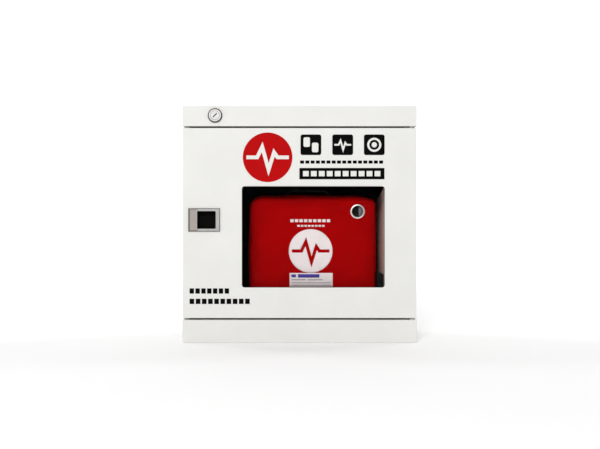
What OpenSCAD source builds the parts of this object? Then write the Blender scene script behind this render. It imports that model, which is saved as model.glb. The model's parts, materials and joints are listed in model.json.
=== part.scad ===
// Wall cabinet with a windowed door, holding a defibrillator in its carry case.
// X runs to the right, the front faces -Y, the wall side faces +Y, and Z runs up.
// The origin is the centre of the flat base. All sizes are millimetres.

/* [Cabinet] */
// overall width
cab_w = 430; // [428:1:440]
// overall height
cab_h = 435; // [435:1:445]
// depth from the door face to the wall
cab_d = 180; // [180:1:200]
// sheet steel thickness
sheet = 1.6; // [1.4:0.1:1.6]
// height of the fixed strip above the door
header_h = 37.2; // [37:0.1:38]
// height of the fixed strip below the door
sill_h = 42; // [41:0.5:42]
// front opening set back behind the door face
lip_setback = 24; // [24:0.1:26]
// width of the cabinet lip on the latch side
left_lip = 16; // [15:0.5:16]
// width of the cabinet lip on the hinge side
right_lip = 6.6; // [6:0.1:6.6]
// radius of the wall bolt holes
wall_hole_r = 4.5; // [3:0.5:5]
// wall bolt spacing across
wall_bolt_x = 300; // [240:10:320]
// wall bolt spacing up
wall_bolt_z = 280; // [240:10:300]

/* [Door] */
// gap above and below the door
door_gap = 3.4; // [3.2:0.1:3.6]
// thickness of the folded door
door_t = 20; // [19:0.5:20]
// width of the lips folded in behind the door
door_lip = 14; // [13:0.5:14]
// hinge axis behind the door face
hinge_back = 8; // [7.5:0.5:8]
// hinge axis in from the cabinet side
hinge_in = 9; // [8.5:0.1:9.5]
// hinge pin radius
pin_r = 3; // [2.5:0.1:3]
// running clearance on a pin, on the radius
run_gap = 0.05; // [0.03:0.01:0.08]

/* [Window] */
// window opening, left edge
win_left = -106; // [-110:1:-100]
// window opening, right edge
win_right = 156; // [150:1:158]
// window opening, lower edge
win_low = 101.6; // [98:0.1:106]
// window opening, upper edge
win_high = 287.4; // [280:0.1:292]
// corner radius of the opening
win_r = 5; // [3:0.5:8]
// thickness of the clear pane
pane_t = 3; // [2:0.5:3]

/* [Latch and key] */
// latch plate, left edge
latch_left = -204; // [-204:0.5:-203]
// latch plate width
latch_w = 58; // [57:0.5:59]
// latch plate height
latch_h = 42.6; // [42:0.1:44]
// height of the latch centre
latch_z = 225.6; // [215:0.1:235]
// depth of the finger cup
cup_d = 14; // [12:0.5:14]
// key switch, left of centre
key_x = -155; // [-158:1:-150]
// key switch height
key_z = 417; // [416.5:0.1:417.5]
// radius of the key switch rim
key_rim_r = 13.2; // [12.5:0.1:13.5]

/* [Bay] */
// shelf top above the base
shelf_z = 56; // [55.5:0.1:56.5]
// left wall of the case bay
bay_left = -125; // [-127:0.5:-124]
// right wall of the case bay
bay_right = 160; // [159:0.5:163]
// ceiling of the case bay
bay_top = 384.4; // [380:0.1:384.4]
// how far the guide plate on the hinge side leans in towards the back
guide_lean = 11; // [8:0.5:12]
// height of the guide plate at its front edge
guide_front_z = 292; // [285:1:300]
// height of the guide plate at its back edge
guide_back_z = 252; // [245:1:260]

/* [Case] */
// carry case, left side
case_left = -96; // [-97:0.5:-95]
// carry case, right side
case_right = 145; // [144:0.5:146]
// carry case height
case_h = 216; // [215:0.5:217]
// carry case depth
case_d = 115; // [114:0.5:116]
// case front behind the door face
case_setback = 40; // [39:0.5:41]
// thickness of the padded case wall
case_wall = 4; // [3:0.5:4]

/* [Defibrillator] */
// width of the unit
aed_w = 208; // [206:1:208]
// height of the unit
aed_h = 188; // [186:1:188]
// depth of the unit
aed_d = 72; // [70:1:72]
// moulded wall thickness
aed_wall = 2.5; // [2:0.1:2.6]
// push travel left behind each button
button_travel = 2; // [1:0.5:2]

/* [Hidden] */
$fn = 48;
eps = 0.01;
half_w = cab_w / 2;
front = -cab_d / 2;
back = cab_d / 2;
inner_w = half_w - sheet;
lip_y = front + lip_setback;
lip_in = lip_y + sheet;
header_z = cab_h - header_h;
door_z0 = sill_h + door_gap;
door_z1 = header_z - door_gap;
door_w = half_w - 0.5;
door_back = front + door_t;
door_in = front + sheet;
hinge_x = half_w - hinge_in;
hinge_y = front + hinge_back;
hinge_lip = 2 * door_lip;
bush_r = pin_r + 1.5;
bush_flange_r = pin_r + 3;
bush_flange_t = 1;
bracket_t = 3;
collar_r = 5;
seal_w = 6;
seal_x0 = -half_w + 10;
seal_x1 = 194;
seal_t = lip_y - door_back;
pane_margin = 10;
stud_margin = 15;
frame_margin = 22;
pane_y = door_in + 1;
frame_y = pane_y + pane_t;
frame_t = 2;
stud_r = 2;
latch_right = latch_left + latch_w;
latch_z0 = latch_z - latch_h / 2;
latch_z1 = latch_z + latch_h / 2;
plate_t = 2;
cup_right = latch_right - 7.7;
cup_half = 16.2;
lever_x = latch_left + 4;
lever_y = front + 0.4;
lever_r = 2.4;
lever_right = latch_left + 16.2;
lever_z0 = latch_z0 + 2;
lever_z1 = latch_z1 - 2;
lever_pin_r = 1;
pocket_z0 = lever_z0 - 0.4;
pocket_z1 = lever_z1 + 0.4;
housing_wall = 1.2;
housing_x0 = latch_left + 0.2;
housing_x1 = latch_right - 3.5;
spring_z0 = latch_z - 4.5;
spring_z1 = latch_z + 4.5;
catch_x0 = -196;
catch_x1 = -172;
catch_z0 = latch_z - 13;
catch_z1 = latch_z + 13;
keeper_y = door_back - 2 * sheet;
catch_gap = 0.3;
switch_x = -half_w + 6.5;
switch_z = 300;
plunger_r = 2.5;
plunger_tip = door_back + 0.3;
sounder_x = -162;
sounder_z = 130;
board_x = bay_left - 10;
cell_r = 7;
cell_pitch = 15;
cell_x = -192;
holder_wall = 1.5;
barrel_r = 9.4;
plug_r = 8;
key_face = front - 4.5;
bay_back = back - 8;
case_y0 = front + case_setback;
case_y1 = case_y0 + case_d;
case_z0 = shelf_z;
case_z1 = shelf_z + case_h;
seam_y = case_y0 + 54;
zip_w = 4;
corner_r = [22, 22, 16, 25];
shoulder_w = 32;
shoulder_drop = 8;
corner_x = [case_left, case_right, case_right, case_left];
corner_z = [case_z0, case_z0, case_z1, case_z1];
corner_sx = [1, -1, -1, 1];
corner_sz = [1, 1, -1, -1];
ring_x = case_right - 36;
ring_z = case_z1 - 30.3;
ring_r = 14;
emblem_x = 20.7;
emblem_z = 167.5;
emblem_r = 41;
print_t = 0.4;
aed_x0 = (case_left + case_right) / 2 - aed_w / 2;
aed_x1 = aed_x0 + aed_w;
aed_z0 = case_z0 + 10;
aed_z1 = aed_z0 + aed_h;
aed_y0 = case_y0 + 14;
aed_y1 = aed_y0 + aed_d;
aed_mid = aed_y0 + aed_d / 2;
aed_r = 20;
pcb_y = aed_y0 + 22;
pcb_t = 1.6;
button_x = [aed_x0 + 40, aed_x1 - 28];
button_z = [aed_z1 - 26, aed_z0 + 62];
button_r = [9, 13];
pads_x0 = -52;
pads_x1 = 74;
pads_z0 = aed_z0 + 18;
pads_z1 = aed_z0 + 138;
battery_x0 = aed_x0 + 12;
battery_x1 = aed_x0 + 86;
battery_z0 = aed_z0 + 20;
battery_z1 = aed_z0 + 120;
slider_z = 180;
slider_x = case_left - 1.5;

WHITE = [0.93, 0.93, 0.91];
BLACK = [0.05, 0.05, 0.055];
STEEL = [0.72, 0.72, 0.72];
RED = [0.66, 0.02, 0.03];
GREY = [0.45, 0.42, 0.38];

// ---- shared helpers ----

module slab(x0, x1, y0, y1, z0, z1) {
    translate([x0, y0, z0])
        cube([x1 - x0, y1 - y0, z1 - z0]);
}

// round bar along Y
module rod_y(x, z, r, y0, y1) {
    translate([x, y0, z])
        rotate([-90, 0, 0])
            cylinder(r = r, h = y1 - y0);
}

// round bar along X
module rod_x(y, z, r, x0, x1) {
    translate([x0, y, z])
        rotate([0, 90, 0])
            cylinder(r = r, h = x1 - x0);
}

// round bar along Z
module rod_z(x, y, r, z0, z1) {
    translate([x, y, z0])
        cylinder(r = r, h = z1 - z0);
}

// flat XZ outline raised from y0 to y1
module raise_y(y0, y1) {
    translate([0, y1, 0])
        rotate([90, 0, 0])
            linear_extrude(y1 - y0)
                children();
}

module round_rect(x0, x1, z0, z1, r) {
    translate([x0 + r, z0])
        square([x1 - x0 - 2 * r, z1 - z0]);
    translate([x0, z0 + r])
        square([x1 - x0, z1 - z0 - 2 * r]);
    for (x = [x0 + r, x1 - r])
        for (z = [z0 + r, z1 - r])
            translate([x, z])
                circle(r);
}

module round_slab(x0, x1, y0, y1, z0, z1, r) {
    raise_y(y0, y1)
        round_rect(x0, x1, z0, z1, r);
}

// rectangle grown by m on every side around the window
module window_slab(m, y0, y1, r) {
    round_slab(win_left - m, win_right + m, y0, y1, win_low - m, win_high + m, r);
}

// unit vector across the line from a to b
function across(a, b) = [a[1] - b[1], b[0] - a[0]] / norm(b - a);

// side direction at point i of a polyline, lengthened so that the width stays even round the bend
function mitre(points, i) =
    let (
        last = len(points) - 1,
        before = across(points[max(i - 1, 0)], points[max(i, 1)]),
        after = across(points[min(i, last - 1)], points[min(i + 1, last)]),
        mean = before + after
    )
    2 * mean / (mean * mean);

// polyline of even width w
module stroke(points, w) {
    last = len(points) - 1;
    polygon(concat(
        [for (i = [0 : last]) points[i] + mitre(points, i) * w / 2],
        [for (i = [last : -1 : 0]) points[i] - mitre(points, i) * w / 2]
    ));
}

// heart-rate trace, one unit is the half width of its field
function trace(x, z, s) = [
    for (p = [[-0.86, 0], [-0.42, 0], [-0.22, 0.42], [0.04, -0.5], [0.26, 0.2], [0.4, 0], [0.86, 0]])
        [x + s * p[0], z + s * p[1]]
];

module disc_with_trace(x, z, r, w, y0, y1) {
    raise_y(y0, y1)
        difference() {
            translate([x, z])
                circle(r);
            stroke(trace(x, z, r), w);
        }
}

// row of short dashes, standing in for a printed line
module dash_row(x0, x1, z0, z1, count, y0, y1) {
    pitch = (x1 - x0) / count;
    for (i = [0 : count - 1])
        slab(x0 + i * pitch, x0 + (i + 0.74) * pitch, y0, y1, z0, z1);
}

// wire through corner points, each run along one axis, with a ball at each bend
module wire(points, r) {
    ball_r = 1.2 * r;
    last = len(points) - 2;
    for (i = [0 : last]) {
        step = points[i + 1] - points[i];
        dir = step / norm(step);
        turn = abs(dir[0]) > eps ? [0, 90 * dir[0], 0]
             : abs(dir[1]) > eps ? [-90 * dir[1], 0, 0]
             : [dir[2] > 0 ? 0 : 180, 0, 0];
        translate(points[i])
            rotate(turn)
                cylinder(r = r, h = norm(step));
    }
    for (i = [1 : last])
        translate(points[i])
            sphere(ball_r);
}

// ---- cabinet ----

module side_wall(x) {
    difference() {
        slab(x, x + sheet, front + sheet, back, 0, cab_h);
        slab(x - 1, x + sheet + 1, front, lip_y, sill_h, header_z);
    }
}

module cabinet_shell() {
    color(WHITE)
        difference() {
            union() {
                side_wall(-half_w);
                side_wall(inner_w);
                slab(-half_w, half_w, front + sheet, back, cab_h - sheet, cab_h);
                slab(-half_w, half_w, front + sheet, back, 0, sheet);
                slab(-half_w, -half_w + left_lip, lip_y, lip_in, sill_h, header_z);
                slab(half_w - right_lip, half_w, lip_y, lip_in, sill_h, header_z);
            }
            rod_y(switch_x, switch_z, plunger_r + 1, lip_y - 1, lip_in + 1);
        }
}

module back_panel() {
    flange = 12;
    color(WHITE)
        difference() {
            slab(-inner_w, inner_w, back - flange, back, sheet, cab_h - sheet);
            slab(-inner_w + sheet, inner_w - sheet, back - flange - 1, back - sheet,
                 2 * sheet, cab_h - 2 * sheet);
            for (x = [-wall_bolt_x / 2, wall_bolt_x / 2])
                for (z = [cab_h / 2 - wall_bolt_z / 2, cab_h / 2 + wall_bolt_z / 2])
                    rod_y(x, z, wall_hole_r, back - sheet - 1, back + 1);
        }
}

module header_panel() {
    color(WHITE)
        difference() {
            union() {
                slab(-half_w, half_w, front, door_in, header_z, cab_h);
                slab(-inner_w, inner_w, door_in, lip_in, header_z, header_z + sheet);
                slab(-half_w + left_lip, half_w - right_lip, lip_y, lip_in, bay_top, header_z);
            }
            rod_y(key_x, key_z, barrel_r + run_gap, front - 1, door_in + 1);
            rod_z(hinge_x, hinge_y, pin_r + run_gap, header_z - 1, header_z + sheet + 1);
        }
}

module sill_panel() {
    color(WHITE)
        difference() {
            union() {
                slab(-half_w, half_w, front, door_in, 0, sill_h);
                slab(-inner_w, inner_w, door_in, lip_in, sill_h - sheet, sill_h);
                slab(-half_w + left_lip, half_w - right_lip, lip_y, lip_in, sill_h,
                     shelf_z - sheet);
            }
            rod_z(hinge_x, hinge_y, pin_r + run_gap, sill_h - sheet - 1, sill_h + 1);
        }
}

module bay_liner() {
    wall_x = bay_right + sheet;
    color(BLACK) {
        slab(bay_left, wall_x + sheet, lip_in, bay_back, bay_top, bay_top + sheet);
        slab(bay_left, wall_x + sheet, bay_back, bay_back + sheet, shelf_z, bay_top + sheet);
        slab(wall_x, wall_x + sheet, lip_in, bay_back, shelf_z, bay_top);
    }
}

module bay_partition_left() {
    x0 = -half_w + left_lip;
    color(BLACK)
        difference() {
            union() {
                slab(bay_left - sheet, bay_left, lip_in, bay_back + sheet, shelf_z, bay_top);
                slab(x0, bay_left, lip_y, lip_in, shelf_z, bay_top);
            }
            slab(catch_x0 - 1, catch_x1 + 1, lip_y - 1, lip_in + 1, catch_z0 - 1, catch_z1 + 1);
            for (i = [-2 : 2])
                slab(sounder_x - 14, sounder_x + 14, lip_y - 1, lip_in + 1,
                     sounder_z + 6 * i - 1.5, sounder_z + 6 * i + 1.5);
        }
}

// inner face of the guide plate, at a given depth
function guide_x(y) = bay_right - guide_lean * (y - lip_in) / (bay_back - lip_in);

// upright prism on the hinge side of the guide plate's inner face, t thick
module beside_guide(t, z0, z1) {
    x0 = guide_x(lip_in);
    x1 = guide_x(bay_back);
    translate([0, 0, z0])
        linear_extrude(z1 - z0)
            polygon([[x0, lip_in], [x1, bay_back], [x1 + t, bay_back], [x0 + t, lip_in]]);
}

// plate that leads the case past the hinge side, its top edge sloping down to the back
module hinge_side_liner() {
    slope = (guide_front_z - guide_back_z) / (bay_back - lip_in);
    color(GREY) {
        difference() {
            beside_guide(sheet, shelf_z, guide_front_z);
            translate([bay_right - 2 * guide_lean, 0, 0])
                rotate([90, 0, 90])
                    linear_extrude(4 * guide_lean)
                        polygon([
                            [lip_in - 1, guide_front_z + slope], [lip_in - 1, bay_top],
                            [bay_back + 1, bay_top], [bay_back + 1, guide_back_z - slope]
                        ]);
        }
        slab(bay_right, half_w - right_lip, lip_y, lip_in, shelf_z, bay_top);
    }
}

module shelf() {
    lip_h = 9;
    color(BLACK) {
        slab(-inner_w, inner_w, lip_in, back - 12, shelf_z - sheet, shelf_z);
        slab(bay_left, guide_x(lip_in + sheet), lip_in, lip_in + sheet, shelf_z,
             shelf_z + lip_h);
    }
}

module shelf_stop() {
    x0 = bay_right - 14.5;
    top = shelf_z + 71;
    r = 12;
    color(BLACK)
        difference() {
            slab(x0, bay_right, case_y0 + 6, case_y0 + 40, shelf_z, top);
            difference() {
                slab(bay_right - r, bay_right + 1, case_y0, case_y0 + 46, top - r, top + 1);
                rod_y(bay_right - r, top - r, r, case_y0, case_y0 + 46);
            }
            beside_guide(2 * guide_lean, shelf_z - 1, top + 1);
        }
}

module door_seal() {
    z0 = sill_h;
    z1 = header_z;
    color(BLACK)
        difference() {
            slab(seal_x0, seal_x1, lip_y - seal_t, lip_y, z0, z1);
            slab(seal_x0 + seal_w, seal_x1 - seal_w, lip_y - seal_t - 1, lip_y + 1,
                 z0 + seal_w + 2, z1 - seal_w - 2);
        }
}

module catch_housing() {
    wall = 3;
    color(BLACK)
        difference() {
            slab(catch_x0, catch_x1, keeper_y + sheet + catch_gap + 0.4, lip_in + 12,
                 catch_z0, catch_z1);
            slab(catch_x0 + wall, catch_x1 - wall, keeper_y, lip_y + 6,
                 catch_z0 + wall, catch_z1 - wall);
        }
    color(BLACK)
        slab(catch_x0 - 4, catch_x1 + 8, lip_in, lip_in + 2, catch_z1, catch_z1 + 8);
}

module catch_magnet() {
    wall = 3;
    color(STEEL)
        slab(catch_x0 + wall, catch_x1 - wall, keeper_y + sheet + catch_gap, lip_y + 6,
             catch_z0 + wall, catch_z1 - wall);
}

module door_switch_body() {
    color(BLACK)
        difference() {
            slab(-inner_w, -inner_w + 13, lip_in, lip_in + 22, switch_z - 10, switch_z + 10);
            rod_y(switch_x, switch_z, plunger_r + run_gap, lip_in - 1, lip_in + 16);
        }
}

module sounder() {
    color(BLACK)
        difference() {
            union() {
                rod_y(sounder_x, sounder_z, 20, lip_in, lip_in + 22);
                rod_y(sounder_x, sounder_z, 23, lip_in, lip_in + 2);
            }
            rod_y(sounder_x, sounder_z, 15, lip_in - 1, lip_in + 8);
        }
}

module alarm_board() {
    color([0.05, 0.3, 0.12])
        slab(board_x, board_x + 1.6, -50, 20, 180, 262);
    color(BLACK)
        for (z = [195, 215, 235])
            slab(board_x - 5, board_x, -38, -22, z, z + 11);
    color(STEEL)
        for (y = [-45, 15])
            for (z = [185, 257])
                rod_x(y, z, 2.5, board_x + 1.6, bay_left - sheet);
}

module battery_holder() {
    x0 = cell_x - cell_r - 2 * holder_wall;
    x1 = cell_x + 3 * cell_pitch + cell_r + 2 * holder_wall;
    color(BLACK)
        difference() {
            slab(x0, x1, -2, 60, shelf_z, shelf_z + 16);
            for (i = [0 : 3])
                rod_y(cell_x + i * cell_pitch, shelf_z + 10, cell_r + 0.2, 2, 56);
            slab(cell_x - cell_r, cell_x + 3 * cell_pitch + cell_r, 2, 56,
                 shelf_z + 10, shelf_z + 17);
        }
}

module alarm_cells() {
    color([0.1, 0.1, 0.5])
        for (i = [0 : 3]) {
            rod_y(cell_x + i * cell_pitch, shelf_z + 9.8, cell_r, 4, 53);
            rod_y(cell_x + i * cell_pitch, shelf_z + 9.8, 2.5, 53, 54.5);
        }
}

module alarm_wiring() {
    wire_r = 1.4;
    key_back = lip_in + 26;
    color(BLACK) {
        wire([[key_x, key_back, key_z], [key_x, key_back + 14, key_z],
              [key_x, key_back + 14, 241], [board_x - 5, key_back + 14, 241]], wire_r);
        wire([[board_x, 5, 200], [-170, 5, 200], [-170, 5, 102],
              [-170, -2.4 - wire_r, 102], [-170, -2.4 - wire_r, shelf_z + 10],
              [-170, -2, shelf_z + 10]], wire_r);
        wire([[sounder_x, lip_in + 22, sounder_z], [sounder_x, -30, sounder_z],
              [sounder_x, -30, 200], [board_x - 5, -30, 200]], wire_r);
        wire([[-inner_w + 8, lip_in + 22, switch_z], [-inner_w + 8, 10, switch_z],
              [-inner_w + 8, 10, 245], [board_x, 10, 245]], wire_r);
    }
}

module key_switch_barrel() {
    color(STEEL)
        translate([key_x, key_face, key_z])
            rotate([-90, 0, 0])
                rotate_extrude()
                    polygon([
                        [plug_r + run_gap, 0], [key_rim_r - 2.2, 0], [key_rim_r - 0.6, 1],
                        [key_rim_r, 2.6], [key_rim_r, front - key_face],
                        [barrel_r, front - key_face], [barrel_r, 30], [plug_r + run_gap, 30]
                    ]);
}

module key_switch_nut() {
    color(STEEL)
        translate([key_x, door_in, key_z])
            rotate([-90, 0, 0])
                difference() {
                    cylinder(r = 13.8, h = 4, $fn = 6);
                    translate([0, 0, -1])
                        cylinder(r = barrel_r + run_gap, h = 6);
                }
}

module key_switch_contacts() {
    y0 = key_face + 30;
    color(BLACK)
        difference() {
            slab(key_x - 10, key_x + 10, y0, lip_in + 26, key_z - 10, key_z + 10);
            rod_y(key_x, key_z, 4, y0 - 1, y0 + 11);
        }
}

// pin with a collar in the gap and a head on the far side of the flange
module one_hinge_pin() {
    rod_z(0, 0, pin_r, -sheet - bracket_t, door_gap + sheet);
    rod_z(0, 0, collar_r, bush_flange_t + 0.1, door_gap);
    rod_z(0, 0, bush_flange_r, door_gap + sheet, door_gap + sheet + 2);
}

module hinge_pins() {
    color(STEEL) {
        translate([hinge_x, hinge_y, door_z1])
            one_hinge_pin();
        translate([hinge_x, hinge_y, door_z0])
            mirror([0, 0, 1])
                one_hinge_pin();
    }
}

// ---- door ----

module door_skin() {
    color(WHITE)
        difference() {
            slab(-door_w, door_w, front, door_back, door_z0, door_z1);
            slab(-door_w + sheet, door_w - sheet, door_in, door_back - sheet,
                 door_z0 + sheet, door_z1 - sheet);
            slab(-door_w + door_lip, door_w - hinge_lip, door_in, door_back + 1,
                 door_z0 + door_lip, door_z1 - door_lip);
            window_slab(0, front - 1, door_in + 1, win_r);
            slab(housing_x0, housing_x1, front - 1, door_in + 1,
                 pocket_z0 - housing_wall, pocket_z1 + housing_wall);
            for (z = [door_z0, door_z1 - sheet])
                rod_z(hinge_x, hinge_y, bush_r + run_gap, z - 1, z + sheet + 1);
        }
}

module window_seal() {
    color(BLACK)
        difference() {
            window_slab(pane_margin, door_in, pane_y, win_r + pane_margin);
            window_slab(-1, door_in - 1, pane_y + 1, win_r);
        }
}

module window_pane() {
    color([0.8, 0.9, 0.95, 0.35])
        window_slab(pane_margin, pane_y, frame_y, win_r + pane_margin);
}

stud_x = [win_left - stud_margin, (win_left + win_right) / 2, win_right + stud_margin];
stud_z = [win_low - stud_margin, (win_low + win_high) / 2, win_high + stud_margin];
stud_places = [
    for (i = [0 : 2])
        for (k = [0 : 2])
            if (i != 1 || k != 1)
                [stud_x[i], stud_z[k]]
];

module window_frame() {
    color(WHITE)
        difference() {
            union() {
                window_slab(frame_margin, frame_y, frame_y + frame_t, win_r);
                difference() {
                    window_slab(frame_margin, door_in, frame_y, win_r);
                    window_slab(frame_margin - 2, door_in - 1, frame_y + 1, win_r);
                }
            }
            window_slab(3, frame_y - 1, frame_y + frame_t + 1, win_r);
            for (p = stud_places)
                rod_y(p[0], p[1], stud_r + 0.2, frame_y - 1, frame_y + frame_t + 1);
        }
}

module window_nuts() {
    nut_y = frame_y + frame_t;
    color(STEEL)
        for (p = stud_places) {
            rod_y(p[0], p[1], stud_r, door_in, nut_y + 4);
            translate([p[0], nut_y, p[1]])
                rotate([-90, 0, 0])
                    cylinder(r = 4, h = 3.2, $fn = 6);
        }
}

module one_bracket() {
    x0 = hinge_x - 14;
    x1 = door_w - sheet;
    difference() {
        union() {
            slab(x0, x1, door_in, door_back - sheet, -sheet - bracket_t, -sheet);
            slab(x1 - bracket_t, x1, door_in, door_back - sheet, -sheet - 30, -sheet);
        }
        rod_z(hinge_x, hinge_y, bush_r + run_gap, -sheet - bracket_t - 1, 0);
    }
}

module hinge_brackets() {
    color(STEEL) {
        translate([0, 0, door_z1])
            one_bracket();
        translate([0, 0, door_z0])
            mirror([0, 0, 1])
                one_bracket();
    }
}

module one_bush() {
    difference() {
        union() {
            rod_z(0, 0, bush_r, -sheet - bracket_t - 1, bush_flange_t);
            rod_z(0, 0, bush_flange_r, 0, bush_flange_t);
        }
        rod_z(0, 0, pin_r + run_gap, -sheet - bracket_t - 2, bush_flange_t + 1);
    }
}

module hinge_bushes() {
    color(BLACK) {
        translate([hinge_x, hinge_y, door_z1])
            one_bush();
        translate([hinge_x, hinge_y, door_z0])
            mirror([0, 0, 1])
                one_bush();
    }
}

module latch_bezel() {
    y0 = front - plate_t;
    color(STEEL)
        difference() {
            round_slab(latch_left, latch_right, y0, front, latch_z0, latch_z1, 1.5);
            slab(latch_left + 1.2, lever_right + 0.5, y0 - 1, front + 1,
                 lever_z0 - 0.6, lever_z1 + 0.6);
            round_slab(lever_right - 5, cup_right, y0 - 1, front + 1,
                       latch_z - cup_half, latch_z + cup_half, 2);
            rod_z(lever_x, lever_y, lever_pin_r + 0.05, pocket_z0 - 1.5, pocket_z1 + 1.5);
        }
}

module latch_housing() {
    floor_y = front + cup_d;
    color(BLACK)
        difference() {
            union() {
                slab(housing_x0, housing_x1, front, floor_y + housing_wall,
                     pocket_z0 - housing_wall, pocket_z1 + housing_wall);
                slab(housing_x0 - 5, housing_x1 + 5, door_in, door_in + housing_wall,
                     pocket_z0 - 5, pocket_z1 + 5);
            }
            slab(housing_x0 + 1, cup_right, front - 1, floor_y, pocket_z0, pocket_z1);
            rod_z(lever_x, lever_y, lever_pin_r + 0.05, pocket_z0 - 1, pocket_z1 + 1);
        }
}

module latch_pivot_pin() {
    color(STEEL)
        rod_z(lever_x, lever_y, lever_pin_r, pocket_z0 - 1, pocket_z1 + 1);
}

// coiled return spring, drawn as a ribbed sleeve, with one leg behind the lever
module latch_spring() {
    turns = 8;
    r_in = 1.1;
    r_root = 1.4;
    r_out = 1.65;
    base = spring_z0 + 0.3;
    pitch = (spring_z1 - spring_z0 - 0.6) / turns;
    color(STEEL) {
        translate([lever_x, lever_y, base])
            rotate_extrude()
                polygon([
                    [r_in, 0],
                    for (i = [0 : turns - 1])
                        for (p = [[r_root, 0], [r_out, 0.5], [r_root, 1]])
                            if (i == turns - 1 || p[1] < 1)
                                [p[0], (i + p[1]) * pitch],
                    [r_in, turns * pitch]
                ]);
        slab(lever_x + 1.2, lever_x + 9, lever_y - 0.1, lever_y + 0.5, base + 1, base + 1.6);
    }
}

module latch_lever() {
    y0 = front - plate_t;
    color([0.78, 0.72, 0.68])
        difference() {
            union() {
                rod_z(lever_x, lever_y, lever_r, lever_z0, lever_z1);
                slab(lever_x, lever_right, y0, y0 + 1.7, lever_z0, lever_z1);
                slab(lever_right - 1.5, lever_right, y0, y0 + 4, lever_z0, lever_z1);
            }
            rod_z(lever_x, lever_y, lever_pin_r + run_gap, lever_z0 - 1, lever_z1 + 1);
            slab(lever_x - 5, lever_x + 5, y0 + 1.7, front + 4, spring_z0, spring_z1);
            rod_z(lever_x, lever_y, lever_pin_r + 0.95, spring_z0, spring_z1);
        }
}

module catch_keeper() {
    color(STEEL)
        slab(-door_w + sheet, catch_x1, keeper_y, keeper_y + sheet, catch_z0 - 2, catch_z1 + 2);
}

module door_emblem() {
    color(RED)
        disc_with_trace(-58.7, 340.4, 45.4, 7, front - print_t, front);
}

// three plain blocks: pad pair, pulse, hand-sized button
module door_pictograms() {
    y0 = front - print_t;
    z0 = 344.6;
    z1 = 382.2;
    mid = (z0 + z1) / 2;
    color(BLACK) {
        raise_y(y0, front)
            difference() {
                round_rect(1.7, 39.6, z0, z1, 4);
                round_rect(7, 19, mid - 4, z1 - 5, 3);
                round_rect(22.5, 34.5, z0 + 5, mid + 4, 3);
            }
        raise_y(y0, front)
            difference() {
                round_rect(60, 98, z0, z1, 4);
                stroke(trace(79, mid, 18), 3.4);
            }
        raise_y(y0, front)
            difference() {
                round_rect(118, 155.8, z0, z1, 4);
                difference() {
                    translate([136.9, mid])
                        circle(13);
                    translate([136.9, mid])
                        circle(9);
                }
                translate([136.9, mid])
                    circle(5);
            }
        difference() {
            slab(-0.4, 155.5, y0, front, 300.2, 320.8);
            dash_row(6, 152, 305.5, 315.5, 10, y0 - 1, front + 1);
        }
        dash_row(1, 155.5, 329, 334.5, 16, y0, front);
    }
}

module door_notice() {
    y0 = front - print_t;
    color(BLACK) {
        dash_row(-201.7, -126.7, 90.5, 100, 7, y0, front);
        dash_row(-201.7, -88.6, 71.5, 81, 10, y0, front);
    }
}

// ---- switch, key ----

module switch_plunger() {
    color([0.85, 0.85, 0.82])
        rod_y(switch_x, switch_z, plunger_r, plunger_tip, lip_in + 12);
}

module key_plug() {
    key_h = 10;
    y1 = key_face + 29.5;
    color(STEEL)
        difference() {
            union() {
                rod_y(key_x, key_z, plug_r, key_face - 0.6, y1);
                slab(key_x - 2.5, key_x + 2.5, y1, y1 + 10, key_z - 2.5, key_z + 2.5);
            }
            translate([key_x, 0, key_z])
                rotate([0, 45, 0])
                    slab(-0.9, 0.9, key_face - 2, key_face + 9, -key_h / 2, key_h / 2);
        }
}

// ---- carry case ----

// flat outline of the case, inset by m, with a radius of its own at each corner
module rounded_outline(m) {
    polygon([
        for (i = [0 : 3])
            for (k = [0, 1]) let (
                r = corner_r[i],
                x = corner_x[i],
                z = corner_z[i],
                first = (i % 2 == 0) ? k == 0 : k == 1
            )
                first
                    ? [x + corner_sx[i] * m, z + corner_sz[i] * r]
                    : [x + corner_sx[i] * r, z + corner_sz[i] * m]
    ]);
    for (i = [0 : 3])
        translate([corner_x[i] + corner_sx[i] * corner_r[i], corner_z[i] + corner_sz[i] * corner_r[i]])
            circle(corner_r[i] - m);
}

// the outline with its right shoulder sloping down
module case_outline(m) {
    top = case_z1 - m;
    difference() {
        rounded_outline(m);
        polygon([
            [case_right - shoulder_w, top],
            [case_right + shoulder_w, top - 2 * shoulder_drop],
            [case_right + shoulder_w, case_z1 + 1],
            [case_right - shoulder_w, case_z1 + 1]
        ]);
    }
}

// one padded half of the case, hollow, with its closed wall on one side
module case_half(y0, y1, hollow_y0, hollow_y1) {
    difference() {
        raise_y(y0, y1)
            case_outline(0);
        raise_y(hollow_y0, hollow_y1)
            case_outline(case_wall);
    }
}

module case_front_shell() {
    color(RED)
        difference() {
            case_half(case_y0, seam_y, case_y0 + case_wall, seam_y + 1);
            rod_y(ring_x, ring_z, ring_r - 2, case_y0 - 1, case_y0 + case_wall + 1);
        }
}

module case_rear_shell() {
    color(RED)
        case_half(seam_y + zip_w, case_y1, seam_y + zip_w - 1, case_y1 - case_wall);
}

// zip tape round the case, with the slider on its left side
module case_zip() {
    color(BLACK) {
        raise_y(seam_y, seam_y + zip_w)
            difference() {
                case_outline(0);
                case_outline(case_wall);
            }
        difference() {
            slab(case_left - 3, case_left, seam_y - 3, seam_y + zip_w + 3,
                 slider_z - 8, slider_z + 8);
            slab(case_left - 4, case_left - 0.8, seam_y, seam_y + zip_w,
                 slider_z - 3, slider_z + 3);
        }
        rod_y(case_left - 2.2, slider_z, 0.6, seam_y - 1, seam_y + zip_w + 1);
    }
}

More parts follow.
